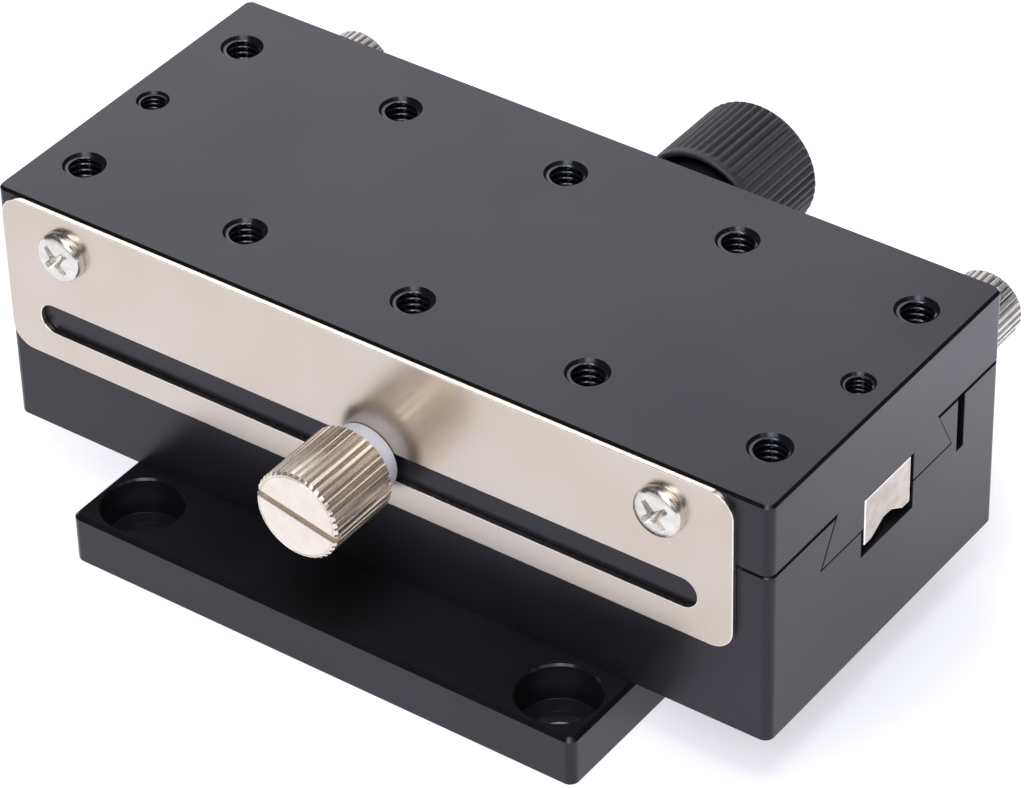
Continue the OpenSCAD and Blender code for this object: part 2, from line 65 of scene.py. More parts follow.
camera = bpy.data.objects.new("camera", bpy.data.cameras.new("camera"))
bpy.context.scene.collection.objects.link(camera)
bpy.context.scene.camera = camera
camera.data.sensor_width = 36
camera.data.lens = 168.02
camera.data.clip_start = 0.01
CAMERA_PLACE = Vector((222.352, -297.228, 299.732)) * MM
CAMERA_TARGET = Vector((1.856, 0.207, 14.781)) * MM
CAMERA_ROLL = math.radians(-1.624)
camera.matrix_world = aim(CAMERA_PLACE, CAMERA_TARGET, CAMERA_ROLL)


def lamp(name, place, target, width, height, power, shade):
    """Softbox at a place in metres, facing a target. Its power is in watts."""
    data = bpy.data.lights.new(name, "AREA")
    data.shape = "RECTANGLE"
    data.size = width
    data.size_y = height
    data.energy = power
    data.color = colour(shade)[:3]
    obj = bpy.data.objects.new(name, data)
    bpy.context.scene.collection.objects.link(obj)
    obj.matrix_world = aim(place, target)


STAGE_MIDDLE = (0, 0, 0.02)
lamp("softbox_back_left", (-0.66, 0.62, 0.54), STAGE_MIDDLE, 0.8, 0.7, 3.7, "#fdfcff")
lamp("softbox_above", (0.1, 0.05, 1.1), STAGE_MIDDLE, 0.9, 0.8, 2.4, "#fffdf9")
lamp("softbox_right", (0.8, -0.35, 0.66), STAGE_MIDDLE, 0.5, 0.5, 0.9, "#fffdfb")
lamp("softbox_front_left", (-0.42, -1.0, 0.25), STAGE_MIDDLE, 1.1, 0.46, 1.2, "#fffaf4")
lamp("softbox_front_right", (0.24, -0.74, 0.68), STAGE_MIDDLE, 0.55, 0.95, 4.0, "#fffdfb")
lamp("softbox_back", (0.12, 0.68, 0.86), STAGE_MIDDLE, 0.5, 0.36, 0.7, "#fdfcff")
# These two light the far bevels and threads of the tapped holes, as the camera sees them
lamp("strip_front_high", (0.4, -0.54, 0.87), STAGE_MIDDLE, 0.4, 0.26, 0.75, "#eaf2ff")
lamp("strip_overhead", (0.12, -0.16, 1.06), STAGE_MIDDLE, 0.5, 0.2, 3.8, "#eef4ff")

world = bpy.data.worlds.new("studio")
bpy.context.scene.world = world
world.use_nodes = True
world.node_tree.nodes["Background"].inputs["Color"].default_value = colour("#8c8c90")
world.node_tree.nodes["Background"].inputs["Strength"].default_value = 0.35

bpy.context.scene.view_settings.view_transform = "Standard"
bpy.context.scene.view_settings.look = "None"


def add(tree, kind, inputs=None, **settings):
    """Adds a node. Settings are its own properties; inputs are values or outputs, by name or number."""
    node = tree.nodes.new(kind)
    for name, value in settings.items():
        setattr(node, name, value)
    for key, value in (inputs or {}).items():
        if isinstance(value, bpy.types.NodeSocket):
            tree.links.new(value, node.inputs[key])
        else:
            node.inputs[key].default_value = value
    return node


def out(node, key=0):
    """First output of a node, or the one asked for."""
    return node.outputs[key]


def maths(tree, operation, *values):
    """Output of a Math node."""
    return out(add(tree, "ShaderNodeMath", dict(enumerate(values)), operation=operation))


def finish(name, base, rough, metallic=0.0, **more):
    """New material with its Principled shader's values. Returns the material, its tree and the shader."""
    material = bpy.data.materials.new(name)
    material.use_nodes = True
    tree = material.node_tree
    shader = tree.nodes["Principled BSDF"]
    shader.inputs["Base Color"].default_value = colour(base)
    shader.inputs["Roughness"].default_value = rough
    shader.inputs["Metallic"].default_value = metallic
    for key, value in more.items():
        shader.inputs[key.replace("_", " ")].default_value = value
    return material, tree, shader


# The noise is turned after scaling, because its own grid would show on flat faces
NOISE_TURN = (0.5, 0.3, 0.8)


def pattern(tree, size_mm, detail=2.0, stretch=(1, 1, 1)):
    """Noise whose spots are about size_mm across, drawn out along an axis where stretch is above 1."""
    place = add(tree, "ShaderNodeTexCoord")
    scale = [1 / (size_mm * MM * s) for s in stretch]
    mapped = add(tree, "ShaderNodeMapping",
                 {"Vector": out(place, "Object"), "Scale": scale, "Rotation": NOISE_TURN})
    noise = add(tree, "ShaderNodeTexNoise",
                {"Vector": out(mapped), "Scale": 1.0, "Detail": detail, "Roughness": 0.5})
    return out(noise, "Fac")


def spread(tree, value, low, high, start=0.3, end=0.7):
    """Takes a pattern from start and end to low and high."""
    node = add(tree, "ShaderNodeMapRange",
               {"Value": value, "From Min": start, "From Max": end, "To Min": low, "To Max": high},
               interpolation_type="SMOOTHSTEP")
    return out(node)


def blend_colours(tree, value, first, second):
    """Colour that goes from the first to the second with a pattern."""
    ramp = add(tree, "ShaderNodeValToRGB", {"Fac": value})
    ramp.color_ramp.interpolation = "EASE"
    ramp.color_ramp.elements[0].position = 0.3
    ramp.color_ramp.elements[0].color = colour(first)
    ramp.color_ramp.elements[1].position = 0.7
    ramp.color_ramp.elements[1].color = colour(second)
    return out(ramp)


def relief(tree, shader, layers):
    """Bumps on a shader from several patterns, each with its height in millimetres and strength."""
    normal = None
    for value, height, strength in layers:
        inputs = {"Height": value, "Distance": height * MM, "Strength": strength}
        if normal is not None:
            inputs["Normal"] = normal
        normal = out(add(tree, "ShaderNodeBump", inputs))
    tree.links.new(normal, shader.inputs["Normal"])


def black_anodised():
    """Aluminium, milled, bead blasted and anodised black: near black, satin, faint grain, cool sheen."""
    material, tree, shader = finish(
        "aluminium_blasted_anodised_black", "#17171a", 0.3, IOR=1.43, Specular_Tint=colour("#edebfd"))
    clouds = pattern(tree, 18, 3)
    # The blasted grain is about 0.05 mm, too fine to show, so it is drawn coarser
    grain = pattern(tree, 0.16, 3)
    tree.links.new(blend_colours(tree, clouds, "#151517", "#1a191e"), shader.inputs["Base Color"])
    tree.links.new(spread(tree, clouds, 0.27, 0.33), shader.inputs["Roughness"])
    relief(tree, shader, [(grain, 0.004, 0.2)])
    return material


def black_cut():
    """Aluminium, cut after blasting and anodised black: deeper black, smoother, with thin crisp lights."""
    material, tree, shader = finish(
        "aluminium_cut_anodised_black", "#0d0d0f", 0.18, IOR=1.5, Specular_Tint=colour("#e9eeff"))
    # The cutter's lines are about 0.04 mm apart, too fine to show, so they are drawn coarser
    lines = pattern(tree, 0.12, 2)
    tree.links.new(blend_colours(tree, lines, "#0b0b0d", "#111114"), shader.inputs["Base Color"])
    tree.links.new(spread(tree, lines, 0.14, 0.22), shader.inputs["Roughness"])
    relief(tree, shader, [(lines, 0.003, 0.15)])
    return material


def black_knob():
    """Aluminium, turned and anodised matt black: softer sheen than the body, fine rings from the lathe."""
    material, tree, shader = finish(
        "aluminium_turned_anodised_matt_black", "#303034", 0.42, IOR=1.52)
    # The lathe's rings, 0.1 mm apart, and the 0.05 mm grain are too fine to show and are drawn coarser
    rings = pattern(tree, 0.3, 2, (20, 1, 20))
    grain = pattern(tree, 0.12, 2)
    tree.links.new(blend_colours(tree, grain, "#2a2a2e", "#333338"), shader.inputs["Base Color"])
    tree.links.new(spread(tree, grain, 0.48, 0.58), shader.inputs["Roughness"])
    relief(tree, shader, [(rings, 0.003, 0.15), (grain, 0.004, 0.3)])
    return material


def stainless_sheet():
    """Stainless sheet, cold rolled and tumbled: warm silver, satin, mottled, with a short grain."""
    material, tree, shader = finish("stainless_steel_rolled_satin", "#cfc5bb", 0.3, 1.0)
    clouds = pattern(tree, 11, 1)
    # The rolled grain is about 0.08 mm, too fine to show, so it is drawn coarser
    short = pattern(tree, 0.25, 2, (5, 1, 1))
    tree.links.new(blend_colours(tree, clouds, "#c8bdb0", "#ccc3bb"), shader.inputs["Base Color"])
    tree.links.new(spread(tree, clouds, 0.21, 0.27), shader.inputs["Roughness"])
    relief(tree, shader, [(clouds, 0.03, 0.08), (short, 0.002, 0.06)])
    return material


def nickel_plate(name, dark, light, smooth, dull):
    """Brass, turned and nickel plated over a light blast: warm silver with a fine tooth."""
    material, tree, shader = finish(name, light, dull, 1.0)
    # The blasted tooth is about 0.05 mm, too fine to show, so it is drawn coarser
    tooth = pattern(tree, 0.14, 3)
    clouds = pattern(tree, 1.6, 2)
    tree.links.new(blend_colours(tree, clouds, dark, light), shader.inputs["Base Color"])
    tree.links.new(spread(tree, tooth, smooth, dull), shader.inputs["Roughness"])
    relief(tree, shader, [(tooth, 0.006, 0.28)])
    return material


def polished_nickel():
    """Steel, cold headed, tumbled and nickel plated: bright, a little hazy, soft waves from the header."""
    material, tree, shader = finish("steel_headed_nickel_plated", "#dcd9d4", 0.24, 1.0)
    waves = pattern(tree, 0.9, 2)
    haze = pattern(tree, 0.3, 2)
    tree.links.new(blend_colours(tree, waves, "#d4d0cb", "#e3e0dc"), shader.inputs["Base Color"])
    tree.links.new(spread(tree, haze, 0.2, 0.3), shader.inputs["Roughness"])
    relief(tree, shader, [(waves, 0.03, 0.3)])
    return material


def bright_steel():
    """Steel, milled bright: warm silver with lines across from the cutter."""
    material, tree, shader = finish("steel_milled_bright", "#beb4ab", 0.28, 1.0)
    # The cutter's lines are about 0.05 mm apart, too fine to show, so they are drawn coarser
    lines = pattern(tree, 0.12, 2, (1, 12, 1))
    clouds = pattern(tree, 1.2, 3)
    tree.links.new(blend_colours(tree, clouds, "#b2a89e", "#c2b9b1"), shader.inputs["Base Color"])
    tree.links.new(spread(tree, lines, 0.22, 0.38), shader.inputs["Roughness"])
    relief(tree, shader, [(lines, 0.004, 0.3), (clouds, 0.01, 0.2)])
    return material


def edge_highlight_finish():
    """Painted highlight on the rounded edges of the stainless sheet and the rack: near white metal, a thin
    white line round the sheet.
    """
    material, tree, shader = finish("stainless_steel_edge_painted_highlight", "#fbf8f4", 0.26, 1.0)
    highlight_spots = pattern(tree, 1.2, 2)
    tree.links.new(blend_colours(tree, highlight_spots, "#f4efe9", "#fdfbf9"), shader.inputs["Base Color"])
    tree.links.new(spread(tree, highlight_spots, 0.2, 0.32), shader.inputs["Roughness"])
    relief(tree, shader, [(highlight_spots, 0.002, 0.06)])
    return material


def dark_steel():
    """Steel, black oxide: dark grey metal with an oily, uneven sheen."""
    material, tree, shader = finish("steel_black_oxide", "#3a3a3d", 0.35, 0.9)
    clouds = pattern(tree, 0.8, 3)
    tree.links.new(blend_colours(tree, clouds, "#303033", "#45454a"), shader.inputs["Base Color"])
    tree.links.new(spread(tree, clouds, 0.28, 0.45), shader.inputs["Roughness"])
    relief(tree, shader, [(pattern(tree, 0.1, 2), 0.003, 0.3)])
    return material


def bronze():
    """Bronze, sintered and reamed: brown gold with open pores."""
    material, tree, shader = finish("bronze_sintered_reamed", "#a87c45", 0.4, 1.0)
    pores = pattern(tree, 0.09, 4)
    tree.links.new(blend_colours(tree, pores, "#7d5a30", "#b88a4f"), shader.inputs["Base Color"])
    tree.links.new(spread(tree, pores, 0.5, 0.33), shader.inputs["Roughness"])
    relief(tree, shader, [(pores, 0.008, 0.4)])
    return material


def brass():
    """Brass, hobbed: bright yellow metal with fine cutter lines."""
    material, tree, shader = finish("brass_hobbed", "#c9a45c", 0.28, 1.0)
    lines = pattern(tree, 0.08, 2, (1, 10, 1))
    tree.links.new(blend_colours(tree, lines, "#bd964c", "#d3b06a"), shader.inputs["Base Color"])
    tree.links.new(spread(tree, lines, 0.22, 0.36), shader.inputs["Roughness"])
    relief(tree, shader, [(lines, 0.003, 0.3)])
    return material


def nylon():
    """Nylon, moulded: pale lavender grey, soft sheen and faint mould texture."""
    material, tree, shader = finish("nylon_moulded_natural", "#d4d4da", 0.45, IOR=1.53)
    skin = pattern(tree, 0.2, 2)
    clouds = pattern(tree, 3, 2)
    tree.links.new(blend_colours(tree, clouds, "#cdcdd4", "#d6d6dc"), shader.inputs["Base Color"])
    tree.links.new(spread(tree, skin, 0.4, 0.52), shader.inputs["Roughness"])
    relief(tree, shader, [(skin, 0.004, 0.3)])
    return material


# Painted light: the floor glows though it is no lamp, less near the stage and more far to the back right
NEAR_GLOW = 0.83
FAR_GLOW = 1.62
TO_BACK_RIGHT = (0.6, 0.8, 0)
# The floor's glow rises between these distances from the stage's middle
GLOW_START = 42 * MM
GLOW_END = 95 * MM
# The floor gives no light beneath the base plate, up to just inside its edge
DARK_FOOT = 29.6 * MM
# Painted shade: the floor's glow is lower in an oval at the stage's right end, which the stage's end faces
# mirror
END_SHADE = 0.77
END_SHADE_X, END_SHADE_Y = 38, 6
END_SHADE_HALF_LENGTH, END_SHADE_HALF_WIDTH = 21, 36
END_SHADE_CORE = 0.45


def studio_floor():
    """Acrylic sheet, opal and seamless, with painted light: it glows white, a painted glow rising to the
    back right, painted shade in an oval at the right end, and no glow beneath the stage.
    """
    material, tree, shader = finish("floor_painted_glow", "#a8a8a8", 0.6)
    place = out(add(tree, "ShaderNodeTexCoord"), "Object")
    along = add(tree, "ShaderNodeVectorMath", {0: place, 1: TO_BACK_RIGHT}, operation="DOT_PRODUCT")
    glow = spread(tree, out(along, "Value"), NEAR_GLOW, FAR_GLOW, GLOW_START, GLOW_END)
    sides = add(tree, "ShaderNodeSeparateXYZ", {
        "Vector": out(add(tree, "ShaderNodeVectorMath", {0: place}, operation="ABSOLUTE"))})
    side = maths(tree, "MAXIMUM", out(sides, "X"), out(sides, "Y"))
    open_floor = maths(tree, "GREATER_THAN", side, DARK_FOOT)
    by_end = add(tree, "ShaderNodeMapping", {
        "Vector": place,
        "Location": (-END_SHADE_X / END_SHADE_HALF_LENGTH, -END_SHADE_Y / END_SHADE_HALF_WIDTH, 0),
        "Scale": (1 / (END_SHADE_HALF_LENGTH * MM), 1 / (END_SHADE_HALF_WIDTH * MM), 1)})
    away = out(add(tree, "ShaderNodeVectorMath", {0: out(by_end)}, operation="LENGTH"), "Value")
    # Painted light and shade: the glow, lowered in the oval at the right end, and none beneath the stage
    lit = maths(tree, "MULTIPLY", glow, spread(tree, away, END_SHADE, 1.0, END_SHADE_CORE, 1.0))
    tree.links.new(maths(tree, "MULTIPLY", lit, open_floor), shader.inputs["Emission Strength"])
    shader.inputs["Emission Color"].default_value = colour("#f7f7ff")
    return material


MATERIALS = {
    "black_anodised": black_anodised(),
    "black_cut": black_cut(),
    "knob_black": black_knob(),
    "stainless": stainless_sheet(),
    "nickel": nickel_plate("brass_turned_nickel_plated", "#e2d9cf", "#e8e0d7", 0.26, 0.38),
    "nickel_dull": nickel_plate("brass_turned_nickel_plated_dull", "#bdb9b6", "#c8c5c3", 0.42, 0.52),
    "nickel_polished": polished_nickel(),
    "steel_bright": bright_steel(),
    "painted_edge_highlight": edge_highlight_finish(),
    "steel_dark": dark_steel(),
    "bronze": bronze(),
    "brass": brass(),
    "nylon": nylon(),
}
SLOT_OF = {part["node"]: part["material_slot"] for part in frame["record"]["subparts"]}
for node_name, node in NODES.items():
    node.data.materials.clear()
    node.data.materials.append(MATERIALS[SLOT_OF[node_name]])

floor_mesh = bpy.data.meshes.new("floor")
HALF_FLOOR = 3.0
floor_mesh.from_pydata(
    [(-HALF_FLOOR, -HALF_FLOOR, 0), (HALF_FLOOR, -HALF_FLOOR, 0),
     (HALF_FLOOR, HALF_FLOOR, 0), (-HALF_FLOOR, HALF_FLOOR, 0)], [], [(0, 1, 2, 3)])
floor_mesh.materials.append(studio_floor())
floor = bpy.data.objects.new("floor", floor_mesh)
bpy.context.scene.collection.objects.link(floor)


def new_tree(name, sockets):
    """Geometry tree with a geometry in and out and named inputs. Returns the tree and its input node."""
    tree = bpy.data.node_groups.new(name, "GeometryNodeTree")
    face = tree.interface
    face.new_socket("Geometry", in_out="INPUT", socket_type="NodeSocketGeometry")
    for label, kind in sockets:
        face.new_socket(label, in_out="INPUT", socket_type="NodeSocket" + kind)
    face.new_socket("Geometry", in_out="OUTPUT", socket_type="NodeSocketGeometry")
    return tree, add(tree, "NodeGroupInput")


def close_tree(tree, geometry, material):
    """Ends a tree in Realize Instances and Set Material."""
    real = add(tree, "GeometryNodeRealizeInstances", {"Geometry": geometry})
    painted = add(tree, "GeometryNodeSetMaterial", {"Geometry": out(real), "Material": material})
    add(tree, "NodeGroupOutput", {"Geometry": out(painted)})


# Shares of the pitch, from the middle of a crest, where the flat crest ends and the flat root starts
THREAD_CREST = 0.07
THREAD_ROOT = 0.4
# Points closer than this are one point
SAME_PLACE = 0.002 * MM


def turning_tree():
    """Turns a profile into a closed body round Z, with flutes cut along it and a thread wound on it.

    The profile is a line of points: radius on X and height on Z. Its attributes say where flutes
    and thread are: flute is 1 where the flutes cut, thread is the share of the thread's full depth.
    """
    tree, given = new_tree("turning", [
        ("Steps", "Int"), ("Flutes", "Float"), ("Outer Radius", "Float"), ("Flute Depth", "Float"),
        ("Ridge Share", "Float"), ("Thread Pitch", "Float"), ("Thread Depth", "Float"),
        ("Material", "Material")])
    counted = add(tree, "GeometryNodeAttributeDomainSize", {"Geometry": out(given, "Geometry")})
    rows = out(counted, "Point Count")
    columns = maths(tree, "ADD", out(given, "Steps"), 1.0)
    grid = add(tree, "GeometryNodeMeshGrid",
               {"Size X": 1.0, "Size Y": 1.0, "Vertices X": columns, "Vertices Y": rows})
    xyz = add(tree, "ShaderNodeSeparateXYZ", {"Vector": out(add(tree, "GeometryNodeInputPosition"))})
    angle = maths(tree, "MULTIPLY", maths(tree, "ADD", out(xyz, "X"), 0.5), 2 * math.pi)
    last_row = maths(tree, "SUBTRACT", rows, 1.0)
    row = maths(tree, "ROUND", maths(tree, "MULTIPLY", maths(tree, "ADD", out(xyz, "Y"), 0.5), last_row))

    def sample(kind, value):
        node = add(tree, "GeometryNodeSampleIndex",
                   {"Geometry": out(given, "Geometry"), "Index": row}, data_type=kind)
        tree.links.new(value, node.inputs["Value"])
        return out(node)

    def mark(label):
        named = add(tree, "GeometryNodeInputNamedAttribute", {"Name": label}, data_type="FLOAT")
        return sample("FLOAT", out(named))

    point = add(tree, "ShaderNodeSeparateXYZ",
                {"Vector": sample("FLOAT_VECTOR", out(add(tree, "GeometryNodeInputPosition")))})
    radius, height = out(point, "X"), out(point, "Z")
    turn = maths(tree, "DIVIDE", angle, 2 * math.pi)
    # One flute runs from the middle of a ridge to the middle of the next, as a V between flat ridges
    share = maths(tree, "FRACT", maths(tree, "MULTIPLY", turn, out(given, "Flutes")))
    from_groove = maths(tree, "ABSOLUTE", maths(tree, "SUBTRACT", share, 0.5))
    half_groove = maths(tree, "MULTIPLY", maths(tree, "SUBTRACT", 1.0, out(given, "Ridge Share")), 0.5)
    groove = out(add(tree, "ShaderNodeMapRange", {
        "Value": from_groove, "From Min": 0.0, "From Max": half_groove, "To Min": 1.0, "To Max": 0.0}))
    cut_here = maths(tree, "MULTIPLY", groove, out(given, "Flute Depth"))
    cut = maths(tree, "MULTIPLY", cut_here, mark("flute"))
    fluted = maths(tree, "MINIMUM", radius, maths(tree, "SUBTRACT", out(given, "Outer Radius"), cut))
    # The thread's crest and root are flat, its flanks straight
    turns_up = maths(tree, "DIVIDE", height, out(given, "Thread Pitch"))
    wind = maths(tree, "FRACT", maths(tree, "SUBTRACT", turns_up, turn))
    flank = maths(tree, "ABSOLUTE", maths(tree, "SUBTRACT", wind, 0.5))
    tooth = out(add(tree, "ShaderNodeMapRange", {
        "Value": flank, "From Min": THREAD_CREST, "From Max": THREAD_ROOT, "To Min": 0.0, "To Max": 1.0}))
    sunk_here = maths(tree, "MULTIPLY", tooth, out(given, "Thread Depth"))
    sunk = maths(tree, "MULTIPLY", sunk_here, mark("thread"))
    final = maths(tree, "SUBTRACT", fluted, sunk)
    place = add(tree, "ShaderNodeCombineXYZ", {
        "X": maths(tree, "MULTIPLY", final, maths(tree, "COSINE", angle)),
        "Y": maths(tree, "MULTIPLY", final, maths(tree, "SINE", angle)), "Z": height})
    shaped = add(tree, "GeometryNodeSetPosition", {"Geometry": out(grid, "Mesh"), "Position": out(place)})
    merged = add(tree, "GeometryNodeMergeByDistance", {"Geometry": out(shaped), "Distance": SAME_PLACE})
    close_tree(tree, out(merged), out(given, "Material"))
    return tree


def repeat_tree():
    """Copies a piece onto the points of a grid in X and Y."""
    tree, given = new_tree("repeat", [
        ("Columns", "Int"), ("Rows", "Int"), ("Length", "Float"), ("Width", "Float"),
        ("Material", "Material")])
    grid = add(tree, "GeometryNodeMeshGrid", {
        "Size X": out(given, "Length"), "Size Y": out(given, "Width"),
        "Vertices X": out(given, "Columns"), "Vertices Y": out(given, "Rows")})
    copies = add(tree, "GeometryNodeInstanceOnPoints",
                 {"Points": out(grid, "Mesh"), "Instance": out(given, "Geometry")})
    close_tree(tree, out(copies), out(given, "Material"))
    return tree


TURNING = turning_tree()
REPEAT = repeat_tree()


def grown(mesh, tree, values):
    """Plain mesh that a tree makes from a mesh, with its inputs set by name."""
    if not mesh.materials:
        mesh.materials.append(values["Material"])
    carrier = bpy.data.objects.new("carrier", mesh)
    bpy.context.scene.collection.objects.link(carrier)
    modifier = carrier.modifiers.new("tree", "NODES")
    modifier.node_group = tree
    for item in tree.interface.items_tree:
        if item.in_out == "INPUT" and item.name in values:
            modifier[item.identifier] = values[item.name]
    result = baked(carrier)
    bpy.data.meshes.remove(mesh)
    return result


def baked(carrier):
    """Plain mesh of an object with its modifiers applied. The object is removed."""
    view = bpy.context.evaluated_depsgraph_get()
    result = bpy.data.meshes.new_from_object(carrier.evaluated_get(view))
    bpy.data.objects.remove(carrier)
    return result


def shaded(mesh, sharp):
    """Mesh with its faces outwards, smooth up to an angle in degrees, and its flats flat."""
    work = bmesh.new()
    work.from_mesh(mesh)
    bmesh.ops.recalc_face_normals(work, faces=work.faces)
    for face in work.faces:
        face.smooth = True
    for edge in work.edges:
        edge.smooth = len(edge.link_faces) == 2 and edge.calc_face_angle() < math.radians(sharp)
    work.to_mesh(mesh)
    work.free()
    carrier = bpy.data.objects.new("carrier", mesh)
    bpy.context.scene.collection.objects.link(carrier)
    modifier = carrier.modifiers.new("even", "WEIGHTED_NORMAL")
    modifier.weight = 100
    modifier.keep_sharp = True
    return baked(carrier)


def profile_mesh(points):
    """Line of points from rows of radius, height, flute and thread, in millimetres."""
    mesh = bpy.data.meshes.new("profile")
    mesh.from_pydata([(p[0] * MM, 0, p[1] * MM) for p in points],
                     [(i, i + 1) for i in range(len(points) - 1)], [])
    for label, column in (("flute", 2), ("thread", 3)):
        values = [p[column] if len(p) > column else 0 for p in points]
        mesh.attributes.new(label, "FLOAT", "POINT").data.foreach_set("value", values)
    return mesh


def turned(points, slot, steps, flutes=1, outer=100, depth=0, ridge=0.5, pitch=1, thread=0):
    """Turned body along Z. Sizes are in millimetres, and ridge is the share of a flute that stays flat."""
    return grown(profile_mesh(points), TURNING, {
        "Steps": steps, "Flutes": float(flutes), "Outer Radius": outer * MM, "Flute Depth": depth * MM,
        "Ridge Share": ridge, "Thread Pitch": pitch * MM, "Thread Depth": thread * MM,
        "Material": MATERIALS[slot]})


def cut_with(mesh, cutter):
    """Mesh with another closed mesh cut out of it."""
    material = mesh.materials[-1]
    body = bpy.data.objects.new("cut_body", mesh)
    tool = bpy.data.objects.new("cut_tool", cutter)
    for obj in (body, tool):
        bpy.context.scene.collection.objects.link(obj)
    modifier = body.modifiers.new("cut", "BOOLEAN")
    modifier.operation = "DIFFERENCE"
    modifier.object = tool
    result = baked(body)
    bpy.data.objects.remove(tool)
    result.materials.clear()
    result.materials.append(material)
    result.polygons.foreach_set("material_index", [0] * len(result.polygons))
    return result


def prism(outline, stations):
    """Closed prism along Z from an outline in millimetres. Stations are height and scale along X and Y."""
    mesh = bpy.data.meshes.new("prism")
    corners = len(outline)
    verts = [(x * wide * MM, y * deep * MM, z * MM) for z, wide, deep in stations for x, y in outline]
    first_end = tuple(range(corners))[::-1]
    last_end = tuple(range(corners * (len(stations) - 1), corners * len(stations)))
    faces = [first_end, last_end]
    for level in range(len(stations) - 1):
        low, high = level * corners, (level + 1) * corners
        for side in range(corners):
            after = (side + 1) % corners
            faces.append((low + side, low + after, high + after, high + side))
    mesh.from_pydata(verts, [], faces)
    return mesh


def piece(name, mesh, body, slot, nodes=(), matrix=None, sharp=25):
    """Shown piece with its place in its mesh, riding a body and standing for CAD nodes."""
    if matrix is not None:
        mesh.transform(matrix)
    mesh = shaded(mesh, sharp)
    mesh.name = name
    if not mesh.materials:
        mesh.materials.append(MATERIALS[slot])
    obj = bpy.data.objects.new(name, mesh)
    bpy.context.scene.collection.objects.link(obj)
    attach(obj, body)
    if nodes:
        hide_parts(*nodes)


def place_at(x, y, z, turn_x=0, turn_z=0):
    """Matrix that turns a piece drawn along Z and puts it at a point in millimetres."""
    spin = Matrix.Rotation(math.radians(turn_z), 4, "Z")
    tilt = Matrix.Rotation(math.radians(turn_x), 4, "X")
    return Matrix.Translation(Vector((x, y, z)) * MM) @ tilt @ spin


TO_FRONT = 90
TO_BACK = -90


def axis_of(node):
    """Middle of a node along X and Z, and its front and back on Y, in millimetres."""
    low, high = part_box(node)
    return (low.x + high.x) / 2 / MM, (low.z + high.z) / 2 / MM, low.y / MM, high.y / MM


# The table's top bevel in the CAD and as the photo shows it, and the radius of the table's corners
TABLE_BEVEL_CAD = 0.4
TABLE_BEVEL_SHOWN = 0.28
TABLE_CORNER = 1.0
# A point this close to the bevel counts as on it
ON_BEVEL = 0.01


def slim_top_bevel(mesh, node, now_mm, wanted_mm, corner_mm):
    """Narrows the bevel round a block's top edges and its round corners."""
    low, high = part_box(node)
    middle = (low + high) / 2
    half = (high - low) / 2
    corner, now, wanted, near = (size * MM for size in (corner_mm, now_mm, wanted_mm, ON_BEVEL))
    for vert in mesh.vertices:
        place = Vector((abs(vert.co.x - middle.x), abs(vert.co.y - middle.y)))
        depth = high.z - vert.co.z
        from_corner = place - Vector((half.x - corner, half.y - corner))
        if min(from_corner) > 0:
            inset, outward = corner - from_corner.length, from_corner.normalized()
        elif half.x - place.x < half.y - place.y:
            inset, outward = half.x - place.x, Vector((1, 0))
        else:
            inset, outward = half.y - place.y, Vector((0, 1))
        on_bevel = abs(inset + depth - now) < near and depth < now + near
        if on_bevel:
            place += outward * (now - wanted) * inset / now
            vert.co.x = middle.x + math.copysign(place.x, vert.co.x - middle.x)
            vert.co.y = middle.y + math.copysign(place.y, vert.co.y - middle.y)
            vert.co.z = high.z - depth * wanted / now


# Upward part of a 45 degree face's normal, and how far it may be off
CUT_SLOPE = math.sqrt(0.5)
CUT_SLOPE_SLACK = 0.08


def mark_cut_faces(mesh):
    """Gives the 45 degree bevels round a block's top and its holes the finish of a later cut."""
    mesh.materials.append(MATERIALS["black_cut"])
    for face in mesh.polygons:
        if abs(face.normal.z - CUT_SLOPE) < CUT_SLOPE_SLACK:
            face.material_index = len(mesh.materials) - 1
    return mesh


# Edges sharper than this are broken, and faces within FLAT of each other are joined first
BREAK_ABOVE = math.radians(50)
FLAT = math.radians(0.5)


def eased(node, width_mm, segments, edge_highlight_slot):
    """Copy of a CAD node with its sharp edges broken by a small round."""
    mesh = NODES[node].data.copy()
    if node == "table":
        slim_top_bevel(mesh, node, TABLE_BEVEL_CAD, TABLE_BEVEL_SHOWN, TABLE_CORNER)
    work = bmesh.new()
    work.from_mesh(mesh)
    bmesh.ops.remove_doubles(work, verts=work.verts, dist=0.001 * MM)
    bmesh.ops.dissolve_limit(work, angle_limit=FLAT, verts=work.verts, edges=work.edges)
    work.to_mesh(mesh)
    work.free()
    carrier = bpy.data.objects.new("carrier", mesh)
    bpy.context.scene.collection.objects.link(carrier)
    modifier = carrier.modifiers.new("ease", "BEVEL")
    # The round's faces take the painted edge highlight, where one is given
    if edge_highlight_slot:
        mesh.materials.append(MATERIALS[edge_highlight_slot])
        modifier.material = 1
    modifier.width = width_mm * MM
    modifier.segments = segments
    modifier.limit_method = "ANGLE"
    modifier.angle_limit = BREAK_ABOVE
    modifier.use_clamp_overlap = False
    return baked(carrier)


for node_name, piece_name, body_name, width, segments, edge_highlight_slot in (
        ("table", "table_machined", "table", 0.07, 2, None),
        ("body", "body_machined", "body", 0.07, 2, None),
        ("base_plate", "base_plate_machined", "body", 0.12, 2, None),
        # The rounds of the lock plate and the rack carry the painted edge highlight
        ("lock_plate", "lock_plate_blanked", "table", 0.09, 3, "painted_edge_highlight"),
        ("rack", "rack_milled", "table", 0.16, 3, "painted_edge_highlight")):
    machined = eased(node_name, width, segments, edge_highlight_slot)
    if SLOT_OF[node_name] == "black_anodised":
        machined = mark_cut_faces(machined)
    piece(piece_name, machined, body_name, SLOT_OF[node_name], [node_name])


